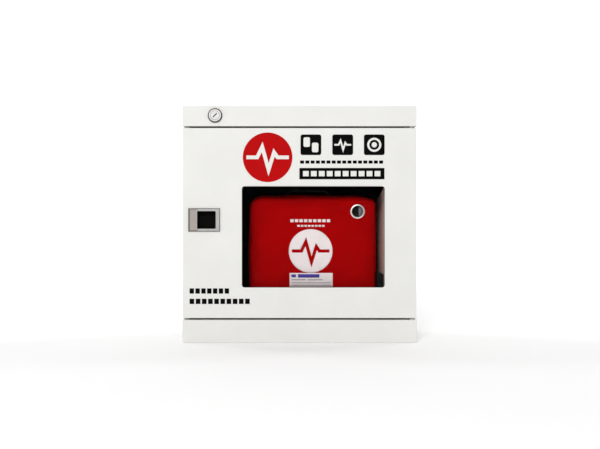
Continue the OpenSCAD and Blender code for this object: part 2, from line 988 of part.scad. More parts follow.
module zip_pull() {
    pull_l = 20;
    x = case_left - 2.2;
    y = seam_y + zip_w / 2;
    color(STEEL)
        difference() {
            union() {
                rod_y(x, slider_z, 1.2, y - 1.7, y + 1.7);
                slab(x - 2, x, y - 1.7, y + 1.7, slider_z - 1.2, slider_z + 1.2);
                slab(x - 2, x - 1, y - 1.7, y + 1.7, slider_z - 8.6, slider_z + 1.2);
                slab(x - 2, x - 1, y - 3.2, y + 3.2, slider_z - pull_l, slider_z - 8.4);
            }
            rod_y(x, slider_z, 0.6 + run_gap, y - 4, y + 4);
            slab(x - 3, x + 3, y - 1.6, y + 1.6, slider_z - pull_l + 2, slider_z - 10.4);
        }
}

// webbing strap arched over the top of the case
module case_handle() {
    mid = (case_left + case_right) / 2 - 8;
    half = 62;
    foot = 16;
    rise = 12;
    t = 2.4;
    y0 = seam_y + zip_w + 6;
    color(BLACK)
        translate([mid, 0, case_z1])
            raise_y(y0, y0 + 26)
                polygon([
                    [-half, 0], [-half + foot, 0], [-half + foot + 14, rise - t],
                    [half - foot - 14, rise - t], [half - foot, 0], [half, 0],
                    [half, t], [half - foot + 1, t], [half - foot - 13, rise],
                    [-half + foot + 13, rise], [-half + foot - 1, t], [-half, t]
                ]);
}

module case_ring() {
    color(STEEL)
        translate([ring_x, case_y0 - 2, ring_z])
            rotate([-90, 0, 0])
                rotate_extrude()
                    polygon([
                        [ring_r - 3.2, 0.6], [ring_r - 2.4, 0], [ring_r - 1, 0.3],
                        [ring_r, 1.4], [ring_r, 2], [ring_r - 2, 2],
                        [ring_r - 2, 7], [ring_r - 3.2, 7]
                    ]);
}

module case_lens() {
    color([0.8, 0.85, 0.9, 0.4])
        rod_y(ring_x, ring_z, ring_r - 3.2, case_y0, case_y0 + 1.5);
}

module case_emblem() {
    y0 = case_y0 - print_t;
    color(WHITE) {
        disc_with_trace(emblem_x, emblem_z, emblem_r, 6, y0, case_y0);
        dash_row(-17.5, 59.6, 221.5, 227, 9, y0, case_y0);
        dash_row(-4.3, 48.7, 212.9, 216.4, 8, y0, case_y0);
    }
}

module case_label() {
    color([0.95, 0.95, 0.93])
        slab(-19, 62, case_y0 - print_t, case_y0, 99.6, 126.2);
}

module case_foam() {
    x0 = case_left + 26;
    x1 = case_right - 26;
    color([0.2, 0.2, 0.2]) {
        slab(x0, x1, aed_y0 + 4, aed_y1, case_z0 + case_wall, aed_z0);
        slab(x0, x1, aed_y1, case_y1 - case_wall, case_z0 + 26, aed_z1 - 8);
    }
}

// ---- defibrillator ----

module aed_block(m, y0, y1) {
    round_slab(aed_x0 + m, aed_x1 - m, y0, y1, aed_z0 + m, aed_z1 - m, aed_r - m);
}

module aed_front_shell() {
    color([0.85, 0.86, 0.88])
        difference() {
            aed_block(0, aed_y0, aed_mid);
            aed_block(aed_wall, aed_y0 + aed_wall, aed_mid + 1);
            for (i = [0 : 1])
                rod_y(button_x[i], button_z[i], button_r[i] + 0.35, aed_y0 - 1,
                      aed_y0 + aed_wall + 1);
            rod_y(ring_x, ring_z, 9, aed_y0 - 1, aed_y0 + aed_wall + 1);
            slab(pads_x0, pads_x1, aed_y0 - 1, aed_y0 + aed_wall + 1, pads_z0, pads_z1);
        }
}

module aed_rear_shell() {
    color([0.25, 0.27, 0.3])
        difference() {
            aed_block(0, aed_mid, aed_y1);
            aed_block(aed_wall, aed_mid - 1, aed_y1 - aed_wall);
            slab(battery_x0, battery_x1, aed_y1 - aed_wall - 1, aed_y1 + 1,
                 battery_z0, battery_z1);
        }
}

module aed_status_display() {
    color([0.15, 0.16, 0.18]) {
        rod_y(ring_x, ring_z, 9, case_y0 + 6, aed_y0 + aed_wall + 0.5);
        rod_y(ring_x, ring_z, 9.6, aed_y0 + aed_wall, aed_y0 + aed_wall + 3);
    }
}

module pads_cartridge() {
    color([0.7, 0.72, 0.75])
        difference() {
            union() {
                slab(pads_x0, pads_x1, aed_y0 - 6, aed_y0 + 14, pads_z0, pads_z1);
                slab(pads_x0 - 3, pads_x1 + 3, aed_y0 - 6, aed_y0, pads_z0 - 3, pads_z1 + 3);
            }
            slab(pads_x0 + 2, pads_x1 - 2, aed_y0 - 4, aed_y0 + 12, pads_z0 + 2, pads_z1 - 2);
        }
}

module aed_battery() {
    color([0.2, 0.2, 0.22])
        slab(battery_x0, battery_x1, pcb_y + 14, aed_y1, battery_z0, battery_z1);
}

module aed_capacitor() {
    color([0.1, 0.15, 0.3])
        rod_z(aed_x1 - 60, pcb_y + pcb_t + 17, 17, aed_z0 + 30, aed_z0 + 112);
}

module aed_board() {
    switch_l = aed_y0 + 11.5 + button_travel + 0.5;
    color([0.05, 0.3, 0.12])
        slab(aed_x0 + 8, aed_x1 - 8, pcb_y, pcb_y + pcb_t, aed_z0 + 10, aed_z1 - 10);
    color(BLACK)
        for (i = [0 : 1])
            slab(button_x[i] - 4, button_x[i] + 4, switch_l, pcb_y,
                 button_z[i] - 4, button_z[i] + 4);
    color(STEEL)
        for (x = [aed_x0 + 12, aed_x1 - 12])
            rod_y(x, aed_z0 + 40, 3, aed_y0 + aed_wall, pcb_y);
}

// capped button with a keeper flange behind the shell and a stem to its switch
module push_button(i) {
    flange_y = aed_y0 + aed_wall + 0.3;
    rod_y(button_x[i], button_z[i], button_r[i], aed_y0 - 2.5, flange_y);
    rod_y(button_x[i], button_z[i], button_r[i] + 2, flange_y, flange_y + 1.5);
    rod_y(button_x[i], button_z[i], 3, flange_y, aed_y0 + 11.5);
}

module on_button() {
    color([0.1, 0.6, 0.2])
        push_button(0);
}

module shock_button() {
    color([0.95, 0.45, 0.05])
        push_button(1);
}

cabinet_shell();
back_panel();
header_panel();
sill_panel();
bay_liner();
bay_partition_left();
hinge_side_liner();
shelf();
shelf_stop();
door_seal();
catch_housing();
catch_magnet();
door_switch_body();
sounder();
alarm_board();
battery_holder();
alarm_cells();
alarm_wiring();
key_switch_barrel();
key_switch_nut();
key_switch_contacts();
hinge_pins();
door_skin();
window_frame();
window_pane();
window_seal();
window_nuts();
hinge_brackets();
hinge_bushes();
latch_bezel();
latch_housing();
latch_pivot_pin();
latch_spring();
catch_keeper();
door_emblem();
door_pictograms();
door_notice();
latch_lever();
key_plug();
switch_plunger();
case_front_shell();
case_rear_shell();
case_zip();
case_handle();
case_ring();
case_lens();
case_emblem();
case_label();
case_foam();
zip_pull();
aed_front_shell();
aed_rear_shell();
aed_status_display();
pads_cartridge();
aed_battery();
aed_capacitor();
aed_board();
on_button();
shock_button();
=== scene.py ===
"""Looks of the cabinet, its door and the carry case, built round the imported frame."""
import json
import math

import bmesh
import bpy
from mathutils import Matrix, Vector
from mathutils.bvhtree import BVHTree


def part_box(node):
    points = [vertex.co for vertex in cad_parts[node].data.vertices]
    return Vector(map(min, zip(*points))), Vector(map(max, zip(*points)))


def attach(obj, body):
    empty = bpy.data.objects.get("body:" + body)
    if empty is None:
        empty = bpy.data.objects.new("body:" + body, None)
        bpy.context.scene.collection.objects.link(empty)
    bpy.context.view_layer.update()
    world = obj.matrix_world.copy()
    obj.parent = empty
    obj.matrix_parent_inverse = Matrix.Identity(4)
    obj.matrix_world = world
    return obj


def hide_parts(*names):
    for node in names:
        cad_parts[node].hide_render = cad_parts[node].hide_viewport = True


MM = 0.001
# angle between two faces, in radians, above which their edge counts as sharp
SHARP = 1.2

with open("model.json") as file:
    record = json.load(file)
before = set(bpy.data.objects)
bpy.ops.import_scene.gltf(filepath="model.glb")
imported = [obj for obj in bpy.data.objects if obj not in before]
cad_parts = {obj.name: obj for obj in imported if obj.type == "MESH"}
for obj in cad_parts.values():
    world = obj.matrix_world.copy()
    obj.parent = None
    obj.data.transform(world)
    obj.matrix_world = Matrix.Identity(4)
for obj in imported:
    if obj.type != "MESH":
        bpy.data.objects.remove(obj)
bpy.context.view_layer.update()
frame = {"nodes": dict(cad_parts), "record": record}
nodes = frame["nodes"]
record = frame["record"]
NODE_SLOT = {row["node"]: row["material_slot"] for row in record["subparts"]}
NODE_BODY = {n: b for b, members in record["behaviour"]["bodies"].items() for n in members}


# ---------------------------------------------------------------- materials

def new_material(name, color, rough, metallic=0.0, alpha=1.0, specular=0.5):
    mat = bpy.data.materials.new(name)
    mat.use_nodes = True
    shader = mat.node_tree.nodes["Principled BSDF"]
    shader.inputs["Base Color"].default_value = (*color, 1)
    shader.inputs["Roughness"].default_value = rough
    shader.inputs["Metallic"].default_value = metallic
    shader.inputs["Alpha"].default_value = alpha
    shader.inputs["Specular IOR Level"].default_value = specular
    return mat, mat.node_tree, shader


def add(tree, kind, **sockets):
    node = tree.nodes.new(kind)
    for key, value in sockets.items():
        node.inputs[key.replace("_", " ")].default_value = value
    return node


def object_coords(tree, stretch=(1, 1, 1)):
    coords = tree.nodes.new("ShaderNodeTexCoord")
    mapping = tree.nodes.new("ShaderNodeMapping")
    mapping.inputs["Scale"].default_value = stretch
    tree.links.new(coords.outputs["Object"], mapping.inputs["Vector"])
    return mapping.outputs["Vector"]


def noise(tree, vector, scale, detail=3.0):
    tex = add(tree, "ShaderNodeTexNoise", Scale=scale, Detail=detail, Roughness=0.55)
    tree.links.new(vector, tex.inputs["Vector"])
    return tex.outputs["Fac"]


def ramp(tree, fac, low, high, lo_pos=0.3, hi_pos=0.7):
    node = tree.nodes.new("ShaderNodeValToRGB")
    node.color_ramp.elements[0].position = lo_pos
    node.color_ramp.elements[1].position = hi_pos
    node.color_ramp.elements[0].color = (*low, 1)
    node.color_ramp.elements[1].color = (*high, 1)
    tree.links.new(fac, node.inputs["Fac"])
    return node.outputs["Color"]


def combine(tree, operation, first, second):
    node = tree.nodes.new("ShaderNodeMath")
    node.operation = operation
    tree.links.new(first, node.inputs[0])
    tree.links.new(second, node.inputs[1])
    return node.outputs[0]


def spread(tree, fac, low, high):
    node = add(tree, "ShaderNodeMapRange", From_Min=0.25, From_Max=0.75, To_Min=low, To_Max=high)
    tree.links.new(fac, node.inputs["Value"])
    return node.outputs["Result"]


def bump(tree, shader, height, distance, strength=1.0, below=None):
    node = add(tree, "ShaderNodeBump", Strength=strength, Distance=distance)
    tree.links.new(height, node.inputs["Height"])
    if below is not None:
        tree.links.new(below, node.inputs["Normal"])
    tree.links.new(node.outputs["Normal"], shader.inputs["Normal"])
    return node.outputs["Normal"]


def shade(color, k):
    return tuple(min(1.0, c * k) for c in color)


def mottle(tree, shader, vector, color, amount, scale):
    fac = noise(tree, vector, scale, 4.0)
    tint = ramp(tree, fac, shade(color, 1 - amount), shade(color, 1 + amount / 2))
    tree.links.new(tint, shader.inputs["Base Color"])
    return fac


def painted(name, color, rough, specular=0.5):
    """Powder coat: fine orange peel over slow waves, with faint unevenness of tone."""
    mat, tree, shader = new_material(name, color, rough, specular=specular)
    vec = object_coords(tree)
    fac = mottle(tree, shader, vec, color, 0.03, 14)
    tree.links.new(spread(tree, fac, rough - 0.05, rough + 0.06), shader.inputs["Roughness"])
    slow = bump(tree, shader, noise(tree, vec, 12, 1.0), 0.0006, 0.25)
    bump(tree, shader, noise(tree, vec, 900, 2.0), 0.00006, 0.5, slow)
    return mat


def plastic(name, color, rough=0.5, grain=1600, depth=0.00005, specular=0.4):
    """Moulded plastic or print: a fine even grain."""
    mat, tree, shader = new_material(name, color, rough, specular=specular)
    vec = object_coords(tree)
    fac = mottle(tree, shader, vec, color, 0.05, 60)
    tree.links.new(spread(tree, fac, rough - 0.06, rough + 0.08), shader.inputs["Roughness"])
    bump(tree, shader, noise(tree, vec, grain, 2.0), depth, 0.6)
    return mat


def metal(name, color, rough, stretch=(1, 1, 1), scale=900):
    """Brushed or plated metal: lines along the axis with the small stretch."""
    mat, tree, shader = new_material(name, color, rough, metallic=1.0)
    vec = object_coords(tree, stretch)
    lines = noise(tree, vec, scale, 3.0)
    tree.links.new(spread(tree, lines, rough - 0.07, rough + 0.1), shader.inputs["Roughness"])
    plain = object_coords(tree)
    mottle(tree, shader, plain, color, 0.08, 90)
    bump(tree, shader, lines, 0.00003, 0.5)
    return mat


def woven(name, color, pitch, depth, sheen=0.03):
    """Threads crossing at this pitch, whichever way the face points."""
    dirt = 0.12
    mat, tree, shader = new_material(name, color, 0.9, specular=0.03)
    shader.inputs["Sheen Weight"].default_value = sheen
    shader.inputs["Sheen Roughness"].default_value = 0.5
    vec = object_coords(tree)
    total = None
    for axis in "XYZ":
        wave = add(tree, "ShaderNodeTexWave", Scale=1 / (2 * pitch), Distortion=0.6, Detail=1.0,
                   Detail_Scale=2.0)
        wave.bands_direction = axis
        tree.links.new(vec, wave.inputs["Vector"])
        threads = wave.outputs["Fac"]
        total = threads if total is None else combine(tree, "ADD", total, threads)
    blotches = combine(tree, "MULTIPLY", noise(tree, vec, 30, 5.0), noise(tree, vec, 700, 2.0))
    tint = ramp(tree, blotches, shade(color, 1 - dirt), shade(color, 1 + dirt), 0.12, 0.42)
    tree.links.new(tint, shader.inputs["Base Color"])
    soft = bump(tree, shader, noise(tree, vec, 24, 2.0), 0.0008, 0.35)
    bump(tree, shader, total, depth, 0.7, soft)
    return mat


def clear(name, color, alpha, rough):
    """Clear sheet: most light passes straight through, the rest is refracted or mirrored."""
    mat, tree, shader = new_material(name, color, rough, alpha=alpha)
    shader.inputs["Transmission Weight"].default_value = 1.0
    shader.inputs["IOR"].default_value = 1.49
    vec = object_coords(tree)
    smear = noise(tree, vec, 35, 4.0)
    tree.links.new(spread(tree, smear, rough, rough + 0.04), shader.inputs["Roughness"])
    tint = ramp(tree, smear, shade(color, 0.97), color)
    tree.links.new(tint, shader.inputs["Base Color"])
    bump(tree, shader, noise(tree, vec, 5, 1.0), 0.0004, 0.15)
    return mat


MATS = {
    "white_paint": painted("white_paint", (0.76, 0.757, 0.727), 0.5, specular=0.3),
    # near-zero albedo, darker than real black paint: partly painted shade for the dark inside of the
    # bay
    "black_paint": painted("black_paint", (0.002, 0.002, 0.003), 0.8, specular=0.02),
    # the pinkish tint is partly the liner's own beige and partly painted red bounce light from the
    # case
    "grey_paint": painted("grey_paint", (0.80, 0.60, 0.52), 0.55),
    "black_rubber": plastic("black_rubber", (0.008, 0.008, 0.008), 0.8, 500, 0.0002, specular=0.15),
    "black_plastic": plastic("black_plastic", (0.004, 0.004, 0.0035), 0.7, specular=0.04),
    "white_plastic": plastic("white_plastic", (0.72, 0.72, 0.69), 0.4),
    "aed_grey": plastic("aed_grey", (0.55, 0.57, 0.6), 0.42),
    "aed_dark": plastic("aed_dark", (0.04, 0.045, 0.05), 0.5),
    "green_plastic": plastic("green_plastic", (0.03, 0.4, 0.1), 0.3),
    "orange_plastic": plastic("orange_plastic", (0.8, 0.25, 0.03), 0.3),
    "circuit_board": plastic("circuit_board", (0.015, 0.13, 0.05), 0.35),
    "cell_sleeve": plastic("cell_sleeve", (0.04, 0.06, 0.26), 0.25),
    "wire_sleeve": plastic("wire_sleeve", (0.02, 0.02, 0.02), 0.5),
    "can_blue": plastic("can_blue", (0.03, 0.06, 0.2), 0.3),
    "display_black": plastic("display_black", (0.003, 0.003, 0.003), 0.5, specular=0.1),
    "lever_enamel": plastic("lever_enamel", (0.37, 0.33, 0.305), 0.6, specular=0.2),
    "red_print": plastic("red_print", (0.46, 0.002, 0.003), 0.6, 1200, 0.00003, specular=0.05),
    "black_print": plastic("black_print", (0.002, 0.002, 0.002), 0.65, 1200, 0.00003, specular=0.03),
    "white_print": plastic("white_print", (0.80, 0.72, 0.72), 0.55, 1200, 0.00003),
    "label_film": plastic("label_film", (0.78, 0.72, 0.72), 0.5, 1200, 0.00003),
    "label_blue": plastic("label_blue", (0.045, 0.03, 0.30), 0.45, 1200, 0.00003),
    # grey of the painted reflection in the status window's lens
    "painted_reflection_grey": plastic("painted_reflection_grey", (0.21, 0.20, 0.215), 0.45),
    "label_grey": plastic("label_grey", (0.36, 0.33, 0.34), 0.5, 1200, 0.00003),
    "zinc_steel": metal("zinc_steel", (0.62, 0.61, 0.58), 0.35),
    "satin_chrome": metal("satin_chrome", (0.50, 0.49, 0.48), 0.42, (1, 1, 1), 500),
    "satin_steel": metal("satin_steel", (0.42, 0.41, 0.40), 0.5, (0.04, 1, 1), 1500),
    "bright_rim": metal("bright_rim", (0.88, 0.80, 0.79), 0.36),
    # dark steel tone used as painted shade on shaded edges and sides
    "painted_shade_steel": metal("painted_shade_steel", (0.11, 0.105, 0.10), 0.5, (1, 1, 1), 700),
    "black_nickel": metal("black_nickel", (0.02, 0.02, 0.022), 0.4),
    "red_cloth": woven("red_cloth", (0.40, 0.0008, 0.0014), 0.0011, 0.00022, sheen=0.0),
    "zip_tape": woven("zip_tape", (0.015, 0.015, 0.016), 0.0007, 0.0001),
    "webbing": woven("webbing", (0.02, 0.02, 0.022), 0.0012, 0.0003),
    "grey_foam": plastic("grey_foam", (0.06, 0.06, 0.065), 0.9, 300, 0.0006),
    "clear_pane": clear("clear_pane", (0.93, 0.95, 0.95), 0.015, 0.01),
    "clear_lens": clear("clear_lens", (0.85, 0.88, 0.9), 0.04, 0.03),
}


# ---------------------------------------------------------------- pieces

def dress(obj, slot):
    obj.data.materials.clear()
    obj.data.materials.append(MATS[slot])


def mesh_piece(name, bm, node_names, body, slot, smooth=True):
    mesh = bpy.data.meshes.new(name)
    bm.to_mesh(mesh)
    bm.free()
    obj = bpy.data.objects.new(name, mesh)
    bpy.context.scene.collection.objects.link(obj)
    for face in mesh.polygons:
        face.use_smooth = smooth
    dress(obj, slot)
    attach(obj, body)
    if node_names:
        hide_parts(*node_names)
    return obj


def apply_modifiers(obj):
    graph = bpy.context.evaluated_depsgraph_get()
    mesh = bpy.data.meshes.new_from_object(obj.evaluated_get(graph))
    obj.modifiers.clear()
    obj.data = mesh


def sheet_bmesh(node):
    """The node's own surface with its flat faces whole again."""
    bm = bmesh.new()
    bm.from_mesh(nodes[node].data)
    bmesh.ops.remove_doubles(bm, verts=bm.verts, dist=2e-6)
    bmesh.ops.dissolve_limit(bm, angle_limit=math.radians(1), verts=bm.verts, edges=bm.edges)
    return bm


def sharp_edges(bm):
    return [e for e in bm.edges if e.calc_face_angle(0) > SHARP]


def bevelled(node, width, segments=2, folds=None, fold_width=0.0):
    """A copy of a CAD node with its sharp edges eased and, where folds says so, bent to a radius."""
    bm = sheet_bmesh(node)
    if folds:
        bent = [e for e in sharp_edges(bm) if folds(*(v.co for v in e.verts))]
        bmesh.ops.bevel(bm, geom=bent, offset=fold_width, segments=4, profile=0.5, affect="EDGES",
                        clamp_overlap=True)
    obj = mesh_piece(node + "_formed", bm, [node], NODE_BODY[node], NODE_SLOT[node])
    ease = obj.modifiers.new("ease", "BEVEL")
    ease.width = width
    ease.segments = segments
    ease.limit_method = "ANGLE"
    ease.angle_limit = math.radians(40)
    ease.use_clamp_overlap = True
    flat = obj.modifiers.new("flat", "WEIGHTED_NORMAL")
    flat.mode = "FACE_AREA"
    flat.weight = 100
    apply_modifiers(obj)
    return obj


def box_fold(low, high):
    """Makes a test that is true for an edge where two sides of the node's outer box meet."""
    tol = 0.2 * MM

    def test(a, b):
        count = 0
        for axis in range(3):
            for limit in (low[axis], high[axis]):
                if abs(a[axis] - limit) < tol and abs(b[axis] - limit) < tol:
                    count += 1
        return count >= 2
    return test


def folded(node):
    """Sheet metal: bends rounded on the outside, cut edges eased."""
    low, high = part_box(node)
    bevelled(node, 0.35 * MM, folds=box_fold(low, high), fold_width=1.3 * MM)


def paint_shade_on_sides(obj):
    """Give every face that doesn't look to the front or the back a painted shade: the dark tone of an
    edge in shade.
    """
    facing = 0.92
    obj.data.materials.append(MATS["painted_shade_steel"])
    for face in obj.data.polygons:
        if abs(face.normal.y) < facing:
            face.material_index = 1


for name in ("door_skin", "header_panel", "sill_panel", "cabinet_shell", "back_panel"):
    folded(name)
bevelled("latch_bezel", 0.0004)
# the key switch barrel's sides carry painted shade
paint_shade_on_sides(bevelled("key_switch_barrel", 0.0014, 3))
bevelled("case_ring", 0.0003).data.materials[0] = MATS["bright_rim"]

for name, width in (
    ("latch_housing", 0.0004), ("latch_lever", 0.0005),
    ("window_frame", 0.0004), ("bay_partition_left", 0.0003), ("hinge_side_liner", 0.0003),
    ("bay_liner", 0.0003), ("shelf", 0.0003), ("shelf_stop", 0.002),
    ("key_plug", 0.0004), ("case_handle", 0.0006), ("zip_pull", 0.0003),
    ("case_zip", 0.0003), ("hinge_brackets", 0.0005), ("door_seal", 0.0012),
    ("aed_front_shell", 0.0012), ("aed_rear_shell", 0.0012), ("pads_cartridge", 0.001),
    ("on_button", 0.0008), ("shock_button", 0.0008), ("catch_housing", 0.0006), ("sounder", 0.0006),
    ("battery_holder", 0.0005), ("door_switch_body", 0.0005), ("catch_keeper", 0.0003),
    ("switch_plunger", 0.0005), ("window_nuts", 0.0002), ("window_pane", 0.0003),
):
    bevelled(name, width)


def join_rows(bm, rows):
    """Faces between each closed row of points and the next."""
    for a, b in zip(rows, rows[1:]):
        count = len(a)
        for k in range(count):
            bm.faces.new((a[k], a[(k + 1) % count], b[(k + 1) % count], b[k]))


def lever_lip():
    """Rolled bright lip along the free edge of the finger lever."""
    low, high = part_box("latch_lever")
    radius = 0.7 * MM
    turns = 12
    x0, y0 = high.x - radius, low.y + 0.2 * MM
    bm = bmesh.new()
    rows = []
    for t, r in ((0.0, 0.55 * radius), (0.02, radius), (0.98, radius), (1.0, 0.55 * radius)):
        z = low.z + t * (high.z - low.z)
        angles = [2 * math.pi * k / turns for k in range(turns)]
        rows.append([bm.verts.new((x0 + r * math.cos(a), y0 + r * math.sin(a), z)) for a in angles])
    join_rows(bm, rows)
    bm.faces.new(rows[0])
    bm.faces.new(rows[-1])
    bmesh.ops.recalc_face_normals(bm, faces=bm.faces)
    mesh_piece("lever_lip", bm, [], "lever", "zinc_steel")


lever_lip()


def latch_shade_line():
    """Dark raised line round the outer edge of the latch plate, painted shade for the plate's shaded
    edge and the shadow it casts.
    """
    low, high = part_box("latch_bezel")
    width, proud, sunk = 1.0 * MM, 0.2 * MM, 0.3 * MM
    back, face = low.y + sunk, low.y - proud
    bm = bmesh.new()
    loops = []
    for inset, y in ((0, back), (0, face), (width, face), (width, back)):
        x0, x1 = low.x + inset, high.x - inset
        z0, z1 = low.z + inset, high.z - inset
        corners = ((x0, z0), (x1, z0), (x1, z1), (x0, z1))
        loops.append([bm.verts.new((x, y, z)) for x, z in corners])
    join_rows(bm, loops + loops[:1])
    bmesh.ops.recalc_face_normals(bm, faces=bm.faces)
    bmesh.ops.bevel(bm, geom=bm.edges[:], offset=0.15 * MM, segments=2, affect="EDGES",
                    clamp_overlap=True)
    obj = mesh_piece("latch_shade_line", bm, [], "door", "satin_steel")
    # the line is given the painted shade tone
    obj.data.materials[0] = MATS["painted_shade_steel"]


latch_shade_line()


# ---------------------------------------------------------------- carry case

CASE_LOW, CASE_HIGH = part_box("case_front_shell")
REAR_LOW, REAR_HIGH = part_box("case_rear_shell")
# corners as right, top and radius in mm, from the lower left round to the upper left
CORNERS = ((0, 0, 22), (1, 0, 22), (1, 1, 16), (0, 1, 25))
# points drawn round each corner of the case, coarse for the fabric and fine for the seam
COARSE_STEPS = 9
FINE_STEPS = 14
SHOULDER_W = 32 * MM
SHOULDER_DROP = 8 * MM
RING_LOW, RING_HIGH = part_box("case_ring")
RING_AXIS = Vector(((RING_LOW.x + RING_HIGH.x) / 2, 0, (RING_LOW.z + RING_HIGH.z) / 2))
RING_R = (RING_HIGH.x - RING_LOW.x) / 2
# how far the rounding of a half's edge reaches, and how far its outline is drawn in
CASE_EDGE = 9 * MM
CASE_CROWN = 1.4 * MM
# farthest that the swelling moves a point of the fabric
PUFF_CAP = 3.5 * MM
# how far the fabric's face starts behind the hard shell's face
FACE_BACK = 1.5 * MM
# the piping's radius, and how far its middle lies from the seam
CORD_R = 1.5 * MM
CORD_IN = 1.2 * MM


def case_loop(inset, steps=COARSE_STEPS):
    """Outline points of the case in X and Z, drawn in by inset, with a sloping right shoulder."""
    points = []
    starts = (180, 270, 0, 90)
    slope_x = CASE_HIGH.x - SHOULDER_W
    crest = CASE_HIGH.z - inset
    for (right, top, radius), start in zip(CORNERS, starts):
        r = radius * MM
        cx = (CASE_HIGH.x - r) if right else (CASE_LOW.x + r)
        cz = (CASE_HIGH.z - r) if top else (CASE_LOW.z + r)
        for k in range(steps + 1):
            a = math.radians(start + 90 * k / steps)
            x = cx + (r - inset) * math.cos(a)
            z = cz + (r - inset) * math.sin(a)
            if x > slope_x:
                z = min(z, crest - SHOULDER_DROP * (x - slope_x) / SHOULDER_W)
            points.append((x, z))
        if right and top:
            points.append((slope_x, crest))
    return points


def off_ring(point):
    """How far a point lies from the axis of the ring in the case's front."""
    return math.hypot(point.x - RING_AXIS.x, point.z - RING_AXIS.z)


def half_shell(y_seam, y_face):
    """Closed half of the case: straight side, rounded edge and flat face."""
    bm = bmesh.new()
    toward = 1 if y_face > y_seam else -1
    steps = 6
    rings = [(0.0, y_seam), (0.0, y_seam + toward * (abs(y_face - y_seam) - CASE_EDGE) / 2)]
    for k in range(steps + 1):
        a = math.radians(90 * k / steps)
        rings.append((CASE_EDGE * (1 - math.cos(a)), y_face - toward * CASE_EDGE * (1 - math.sin(a))))
    loops = []
    for inset, y in rings:
        loops.append([bm.verts.new((x, y, z)) for x, z in case_loop(inset + CASE_CROWN)])
    join_rows(bm, loops)
    bm.faces.new(loops[0])
    bm.faces.new(loops[-1])
    bmesh.ops.recalc_face_normals(bm, faces=bm.faces)
    return bm


def remesh(obj):
    step = obj.modifiers.new("voxels", "REMESH")
    step.mode = "VOXEL"
    step.voxel_size = 5 * MM
    apply_modifiers(obj)


def puff(obj, seam_y):
    """Swell the fabric, held at the seam, the foot and the ring, and cap how far a point moves."""
    held_band = 4 * MM
    front_band = 10 * MM
    held_by_ring = 1.35 * RING_R
    frames = 20
    rest = [v.co.copy() for v in obj.data.vertices]
    group = obj.vertex_groups.new(name="held")
    for v in obj.data.vertices:
        at_seam = abs(v.co.y - seam_y) < held_band
        at_foot = v.co.z < CASE_LOW.z + held_band
        by_ring = v.co.y < CASE_LOW.y + front_band and off_ring(v.co) < held_by_ring
        if at_seam or at_foot or by_ring:
            group.add([v.index], 1.0, "REPLACE")
    cloth = obj.modifiers.new("fabric", "CLOTH")
    cloth.settings.vertex_group_mass = "held"
    cloth.settings.use_pressure = True
    cloth.settings.uniform_pressure_force = 4.0
    cloth.settings.effector_weights.gravity = 0
    cloth.settings.mass = 0.35
    cloth.settings.tension_stiffness = 25
    cloth.settings.bending_stiffness = 6
    cloth.point_cache.frame_start = 1
    cloth.point_cache.frame_end = frames
    for step in range(1, frames + 1):
        bpy.context.scene.frame_set(step)
    graph = bpy.context.evaluated_depsgraph_get()
    moved = [v.co.copy() for v in obj.evaluated_get(graph).data.vertices]
    obj.modifiers.clear()
    for v, start, end in zip(obj.data.vertices, rest, moved):
        shift = end - start
        if shift.length > PUFF_CAP:
            shift = shift * (PUFF_CAP / shift.length)
        v.co = start + shift
    bpy.context.scene.frame_set(1)


def cut_ring_hole(obj):
    """Open the front fabric behind the ring's flange."""
    front_band = 12 * MM
    hole_r = RING_R - 2.4 * MM
    bm = bmesh.new()
    bm.from_mesh(obj.data)
    inside = []
    for face in bm.faces:
        middle = face.calc_center_median()
        if middle.y < CASE_LOW.y + front_band and off_ring(middle) < hole_r:
            inside.append(face)
    bmesh.ops.delete(bm, geom=inside, context="FACES")
    bm.to_mesh(obj.data)
    bm.free()


def padded_half(name, node, y_seam, y_face):
    bm = half_shell(y_seam, y_face)
    obj = mesh_piece(name, bm, [node], "case", "red_cloth")
    remesh(obj)
    puff(obj, y_seam)
    smooth = obj.modifiers.new("smooth", "SMOOTH")
    smooth.factor = 0.5
    smooth.iterations = 4
    finer = obj.modifiers.new("finer", "SUBSURF")
    finer.levels = 1
    finer.render_levels = 1
    apply_modifiers(obj)
    for face in obj.data.polygons:
        face.use_smooth = True
    dress(obj, "red_cloth")
    return obj


case_front = padded_half("case_front_padded", "case_front_shell", CASE_HIGH.y,
                         CASE_LOW.y + FACE_BACK)
padded_half("case_rear_padded", "case_rear_shell", REAR_LOW.y, REAR_HIGH.y - FACE_BACK)
cut_ring_hole(case_front)


def piping(name, y):
    """Round cord sewn along the case's seam."""
    bm = bmesh.new()
    loop = case_loop(0.4 * MM, FINE_STEPS)
    sides = 10
    rows = []
    count = len(loop)
    for i in range(count):
        x, z = loop[i]
        before, after = loop[i - 1], loop[(i + 1) % count]
        run = Vector((after[0] - before[0], after[1] - before[1])).normalized()
        out = Vector((run.y, -run.x))
        row = []
        for k in range(sides):
            a = 2 * math.pi * k / sides
            r = CORD_R * math.cos(a)
            row.append(bm.verts.new((x + out.x * r, y + CORD_R * math.sin(a), z + out.y * r)))
        rows.append(row)
    join_rows(bm, rows + rows[:1])
    bmesh.ops.recalc_face_normals(bm, faces=bm.faces)
    mesh_piece(name, bm, [], "case", "red_cloth")


piping("case_piping_front", CASE_HIGH.y - CORD_IN)
piping("case_piping_rear", REAR_LOW.y + CORD_IN)


def add_box(bm, points):
    """A closed box from its eight corners, the last axis changing fastest."""
    corners = [bm.verts.new(point) for point in points]
    for quad in ((0, 1, 3, 2), (4, 6, 7, 5), (0, 4, 5, 1), (2, 3, 7, 6), (0, 2, 6, 4), (1, 5, 7, 3)):
        bm.faces.new([corners[q] for q in quad])


